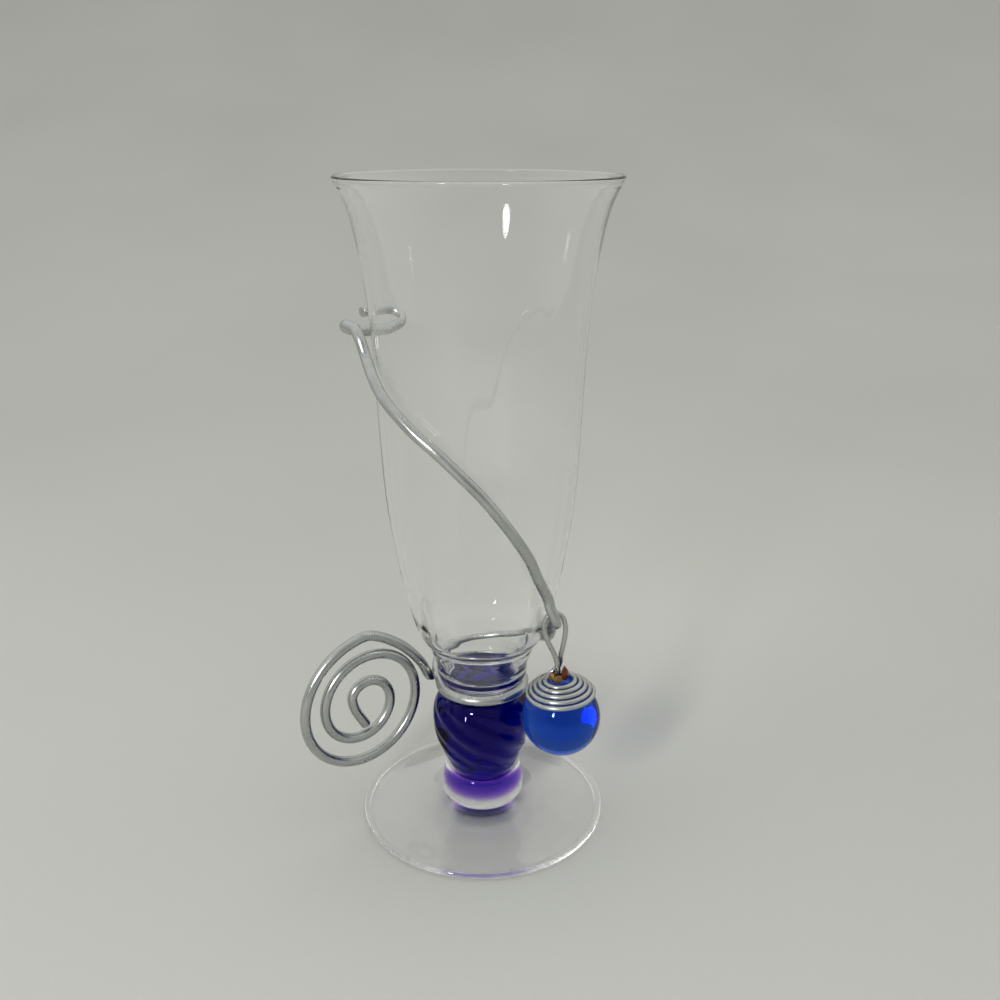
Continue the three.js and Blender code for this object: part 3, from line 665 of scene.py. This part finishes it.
def spiralRoute():
    innerEnd = [(-0.28, -2.78), (0.38, -1.63), (0.91, -0.6)]
    wayDown = [(-2.34, 6.91), (-3.62, 6.15), (-4.92, 5.16), (-6.18, 3.86), (-7.28, 2.34)]
    loops = []
    steps = round(wrap["spiralTurns"] * wrap["pointsPerTurn"])
    for step in range(1, steps + 1):
        turns = step / steps * wrap["spiralTurns"]
        angle = math.radians(wrap["spiralStart"] + 360 * turns)
        oval = 1 + wrap["spiralOval"] * math.cos(2 * (angle - math.radians(wrap["spiralOvalLean"])))
        radius = oval * (wrap["spiralInner"] + wrap["spiralGrowth"] * turns ** wrap["spiralPower"])
        loops.append(spiralPlace(wrap["spiralDrift"][0] * turns + radius * math.cos(angle),
                                 wrap["spiralDrift"][1] * turns + radius * math.sin(angle)))
    return [*[spiralPlace(wires(out), wires(up)) for out, up in innerEnd], *loops,
            *[spiralPlace(wires(out), wires(up)) for out, up in wayDown]]


def neckRoute(lastOfSpiral):
    def place(azimuth, out, up):
        return around(azimuth, neckRadius + wires(out), neckHeight + wires(up))

    wayIn = [place(*point) for point in ((150, 0.94, -0.25), (137, 0.59, -0.16), (121, 0.22, -0.06))]
    lap = [place(azimuth, 0, 0) for azimuth in range(105, -166, -15)]
    wayUp = [place(*point) for point in ((-180, 0.08, 0.14), (-192, 0.53, 0.56))]
    return [*roundedCorner(lastOfSpiral, spiralBend, wayIn[0]), *wayIn, *lap, *wayUp]


# Up round the back of the bowl: azimuth, rise above the cup's base in wire diameters, share of the gap
def backRoute():
    points = [(-207, -1.34, 1.3), (-228, -0.88, 1), (-255, -0.38, 1.3), (-285, 0.13, 1.2),
              (-315, 0.75, 1), (-337, 1.53, 1), (-354, 2.28, 1), (-368, 3.13, 1)]
    return [besideGlass(azimuth, cupBase + wires(rise), wrap["gap"] * gaps)
            for azimuth, rise, gaps in points]


# The hook is a short straight stretch between two corners
def hookRoute():
    def place(x, y, z):
        return hook + Vector((wires(x), wires(y), wires(z)))

    below = besideGlass(wrap["hookAzimuth"] + 14, hook.z - wires(2.4), wrap["gap"])
    above = place(-0.16, -1.38, 1.06)
    return [below, *roundedCorner(below, place(-0.03, 0.69, 0), hook),
            *roundedCorner(hook, place(0.16, -1.34, -0.06), above), above, place(-0.56, -1.31, 1.97)]


# The arm leans on the bowl: azimuth, share of the cup's height and share of the gap
def armRoute():
    points = [(-43, 0.195, 4), (-47.8, 0.2228, 1.7), (-53, 0.25, 1.15), (-61, 0.3006, 1),
              (-70, 0.3494, 1), (-79.5, 0.3981, 1), (-89.5, 0.4449, 1), (-99, 0.4816, 1), (-112.5, 0.5266, 1),
              (-122.5, 0.5519, 1), (-133, 0.5797, 1), (-144.5, 0.6063, 1), (-156, 0.6386, 1.15),
              (-167.5, 0.6709, 2.3), (-171, 0.7, 5.7)]
    return [besideGlass(azimuth, cupBase + cupHeight * share, wrap["gap"] * gaps)
            for azimuth, share, gaps in points]


# The curl: azimuth, distance out from the glass and height above its lowest part, in wire diameters
def curlRoute():
    points = [(-175.5, 1.44, 0.81), (180.5, 2.25, 1.03), (174.5, 2.63, 0.56), (168.2, 2.19, 0.06),
              (163.4, 1.16, -0.13), (156, 0.69, -0.19), (148, 0.63, -0.06), (140.5, 0.69, 0.19),
              (137, 1.5, 0.66), (138.8, 2.47, 1.06), (144, 3.09, 1.19), (150.4, 3.44, 1.13)]
    route = []
    for azimuth, out, up in points:
        height = cupBase + cupHeight * wrap["curlHeight"] + wires(up)
        route.append(around(azimuth, glassRadius(height) + wires(out), height))
    return route


spiral = spiralRoute()
wrapPoints = [*spiral, *neckRoute(spiral[-1]), *backRoute(), *hookRoute(), *armRoute(), *curlRoute()]
wirePiece("wrapWire", smoothRoute(wrapPoints, wrap["step"]), wrap["drawnDiameter"], wrap["sides"],
          "wire", "wire_wrap")
print("wire wrap made")


# Pendant, built upright with its origin at the ball's centre, then hung from the hook

pendant = {"ballRadius": 13.0, "hangLength": 34.9, "lean": 4.2, "pinDepth": 7.0, "pinClearance": 0.3,
           "wireDiameter": 1.5, "drawnDiameter": 1.62, "sides": 20, "step": 0.3, "hookGap": 0.35,
           "coilInner": 4.3, "coilOuter": 11.3, "coilTurns": 4.7, "coilStart": 150,
           "chipClearance": 0.3, "chipReach": 2.25, "segments": 128, "rings": 90}

hung = (Matrix.Translation(hook) @ Matrix.Rotation(-math.radians(pendant["lean"]), 4, "Y")
        @ Matrix.Translation((0, 0, -pendant["hangLength"])))
coilSeat = pendant["ballRadius"] + pendant["wireDiameter"] / 2 + pendant["chipClearance"]


def coilPoint(azimuth, radius):
    return around(azimuth, radius, math.sqrt(coilSeat ** 2 - radius ** 2))


# From the outer end of the coil inwards, up into the loop round the hook and down into the ball
def hangerRoute():
    outerTilt = math.asin(pendant["coilOuter"] / coilSeat)
    innerTilt = math.asin(pendant["coilInner"] / coilSeat)
    steps = round(pendant["coilTurns"] * wrap["pointsPerTurn"])
    points = []
    for step in range(steps + 1):
        share = step / steps
        tilt = outerTilt + (innerTilt - outerTilt) * share
        azimuth = pendant["coilStart"] + 360 * pendant["coilTurns"] * (1 - share)
        points.append(coilPoint(azimuth, coilSeat * math.sin(tilt)))
    reach = wrap["diameter"] / 2 + pendant["hookGap"] + pendant["wireDiameter"] / 2
    coilTop = coilPoint(0, pendant["coilInner"]).z
    hang = pendant["hangLength"]

    def onLeg(x, y, share):
        return Vector((x * reach, y * reach, coilTop + (hang - coilTop) * share))

    def onArch(x, z):
        return Vector((x * reach, 0, hang + z * reach))

    legUp = [(-0.93, 1.37, 0.029), (-0.33, 1.48, 0.089), (0.15, 1.19, 0.164), (0.37, 0.78, 0.261),
             (0.44, 0.37, 0.382), (0.78, 0.07, 0.568)]
    arch = [(1.15, -1.74), (1.2, -0.59), (0.87, 0.52), (0.07, 1), (-0.78, 0.63), (-1.3, -0.19),
            (-1.37, -1.22)]
    legDown = [(-1, 0, 0.661), (-0.41, -0.04, 0.466), (-0.13, -0.06, 0.336), (0, 0, 0.196)]
    points += [*[onLeg(*p) for p in legUp], *[onArch(*p) for p in arch], *[onLeg(*p) for p in legDown]]
    ballTop = pendant["ballRadius"]
    pinHeights = (ballTop * 1.08, ballTop - pendant["pinDepth"] / 2, ballTop - pendant["pinDepth"])
    points += [Vector((0, 0, height)) for height in pinHeights]
    return smoothRoute(points, pendant["step"])


def ballOutline():
    radius = pendant["ballRadius"]
    holeRadius = pendant["wireDiameter"] / 2 + pendant["pinClearance"]
    holeFloor = radius - pendant["pinDepth"] - pendant["pinClearance"]
    holeTilt = math.degrees(math.asin(holeRadius / radius))
    outline = [(radius * math.sin(math.radians(a)), -radius * math.cos(math.radians(a)))
               for a in np.linspace(2, 180 - holeTilt, pendant["rings"])]
    return [*outline, (holeRadius, holeFloor + 0.4), (holeRadius - 0.4, holeFloor)]


wirePiece("hangerWire", hangerRoute(), pendant["drawnDiameter"], pendant["sides"], "pendant",
          "hanger_wire", hung)
ballVertices, ballFaces = turnedMesh(ballOutline(), pendant["segments"])
meshPiece("pendantBallGlass", [hung @ Vector(v) for v in ballVertices], ballFaces, ballGlass,
          "pendant", "pendant_ball")


# A broken chip: a ball of facets knocked flat here and there, stretched to size

chip = {"cuts": 14, "cutTurn": 2.4, "cutReach": 0.74, "cutSpread": 0.2, "crease": 18}


def chipPiece(name, azimuth, size, taper, material, replaced, seed):
    width, depth, height = size
    lump = bmesh.new()
    bmesh.ops.create_icosphere(lump, subdivisions=3, radius=1.0)
    cuts = []
    for k in range(chip["cuts"]):
        angle = chip["cutTurn"] * k + seed
        up = 1 - 2 * (k + 0.5) / chip["cuts"]
        flat = math.sqrt(1 - up * up)
        cuts.append(Vector((flat * math.cos(angle), flat * math.sin(angle), up)))
    for vertex in lump.verts:
        for k, cut in enumerate(cuts):
            own = noise.noise(Vector((seed * 3.1, k * 1.7, 0.5)))
            over = vertex.co.dot(cut) - (chip["cutReach"] + chip["cutSpread"] * own)
            if over > 0:
                vertex.co -= cut * over
    vertices = []
    seat = math.sqrt(pendant["ballRadius"] ** 2 - (pendant["chipReach"] - depth / 4) ** 2)
    middle = seat + pendant["chipClearance"] + height / 2
    place = (Matrix.Translation(around(azimuth, pendant["chipReach"], middle))
             @ Matrix.Rotation(math.radians(azimuth + 90), 4, "Z"))
    for vertex in lump.verts:
        drawn = 1 - taper * (0.5 + vertex.co.z / 2)
        corner = Vector((vertex.co.x * drawn * width / 2, vertex.co.y * drawn * depth / 2,
                         vertex.co.z * height / 2))
        vertices.append(hung @ (place @ corner))
    faces = [tuple(v.index for v in face.verts) for face in lump.faces]
    lump.free()
    meshPiece(name, vertices, faces, material, "pendant", replaced, creaseAngle=chip["crease"])


chipPiece("amberChipLeft", 205, (4.6, 3.0, 3.8), 0.2, amberResin, "amber_chip_left", 1)
chipPiece("amberChipFront", 265, (4.4, 3.0, 3.4), 0.2, amberResin, "amber_chip_front", 2)
chipPiece("brownChip", 335, (5.2, 3.4, 6.2), 0.5, brownResin, "brown_chip", 3)
print("pendant made")


# Pale matt sweep: floor and backdrop in one

sweep = {"width": 5.0, "front": -1.4, "bend": 0.3, "radius": 3.0, "climb": 50, "drop": -0.0002}


def sweepPiece():
    outline = [(sweep["front"], sweep["drop"]), (sweep["bend"], sweep["drop"])]
    for angle in range(2, sweep["climb"] + 1, 2):
        turn = math.radians(angle)
        outline.append((sweep["bend"] + sweep["radius"] * math.sin(turn),
                        sweep["drop"] + sweep["radius"] * (1 - math.cos(turn))))
    vertices = [(x, y, z) for y, z in outline for x in (-sweep["width"] / 2, sweep["width"] / 2)]
    faces = [(2 * k, 2 * k + 1, 2 * k + 3, 2 * k + 2) for k in range(len(outline) - 1)]
    mesh = bpy.data.meshes.new("sweep")
    mesh.from_pydata(vertices, [], faces)
    mesh.shade_smooth()
    material, tree, output = newMaterial("paleMattPaper")
    place = addNode(tree, "ShaderNodeTexCoord").outputs["Object"]
    grain = addNode(tree, "ShaderNodeTexNoise", {"Vector": place, "Scale": 900.0, "Detail": 2.0})
    cloud = addNode(tree, "ShaderNodeTexNoise", {"Vector": place, "Scale": 3.0, "Detail": 2.0})
    colour = addNode(tree, "ShaderNodeMix", {
        0: cloud.outputs[0], 6: hexColour("#C4C4BF"), 7: hexColour("#D0D1CC")}, data_type="RGBA")
    bump = addNode(tree, "ShaderNodeBump", {
        "Height": grain.outputs[0], "Distance": 0.1 * mm, "Strength": 0.5})
    paper = addNode(tree, "ShaderNodeBsdfPrincipled", {
        "Base Color": colour.outputs[2], "Roughness": 0.85, "Normal": bump.outputs[0]})
    tree.links.new(paper.outputs[0], output.inputs["Surface"])
    mesh.materials.append(material)
    piece = bpy.data.objects.new("sweep", mesh)
    scene.collection.objects.link(piece)


sweepPiece()


# Light: a soft bright sky above, dimmer round the sides and behind the camera, and one oval soft
# box in front on the left, aimed at the middle of the vase

light = {"sky": "#F4F5F2", "zenith": 0.85, "side": 0.68, "behind": 0.35}
softBox = {"azimuth": -117, "elevation": 30, "distance": 1.1, "size": (0.12, 0.27), "power": 3.8,
           "aimedAt": (0, 0, 0.1)}


def placeSoftBox():
    data = bpy.data.lights.new("softBoxLeft", "AREA")
    data.shape = "ELLIPSE"
    data.size, data.size_y = softBox["size"]
    data.energy = softBox["power"]
    lamp = bpy.data.objects.new("softBoxLeft", data)
    rise = math.radians(softBox["elevation"])
    spot = around(softBox["azimuth"], softBox["distance"] * math.cos(rise),
                  softBox["distance"] * math.sin(rise))
    lamp.location = spot
    lamp.rotation_euler = (Vector(softBox["aimedAt"]) - spot).to_track_quat("-Z", "Y").to_euler()
    scene.collection.objects.link(lamp)


def skyLight():
    world = bpy.data.worlds.new("softSky")
    scene.world = world
    world.use_nodes = True
    tree = world.node_tree
    tree.nodes.clear()
    direction = addNode(tree, "ShaderNodeTexCoord").outputs["Generated"]
    parts = addNode(tree, "ShaderNodeSeparateXYZ", {0: direction})
    up = addNode(tree, "ShaderNodeMapRange", {
        "Value": parts.outputs["Z"], "From Min": 0.0, "From Max": 0.9,
        "To Min": light["side"], "To Max": light["zenith"]}, interpolation_type="SMOOTHSTEP")
    back = addNode(tree, "ShaderNodeMapRange", {
        "Value": parts.outputs["Y"], "From Min": -0.9, "From Max": 0.1,
        "To Min": light["behind"] / light["side"], "To Max": 1.0}, interpolation_type="SMOOTHSTEP")
    strength = addNode(tree, "ShaderNodeMath", {
        0: up.outputs[0], 1: back.outputs[0]}, operation="MULTIPLY")
    sky = addNode(tree, "ShaderNodeBackground", {
        "Color": hexColour(light["sky"]), "Strength": strength.outputs[0]})
    addNode(tree, "ShaderNodeOutputWorld", {"Surface": sky.outputs[0]})


skyLight()
placeSoftBox()
scene.view_settings.view_transform = "Standard"
scene.view_settings.look = "Medium High Contrast"
scene.view_settings.exposure = -0.08
# Light crosses many glass walls, and each bead of glass turns it round several times
scene.cycles.max_bounces = 32
scene.cycles.glossy_bounces = 24
scene.cycles.transmission_bounces = 32
scene.cycles.transparent_max_bounces = 24
print("stage and light made")
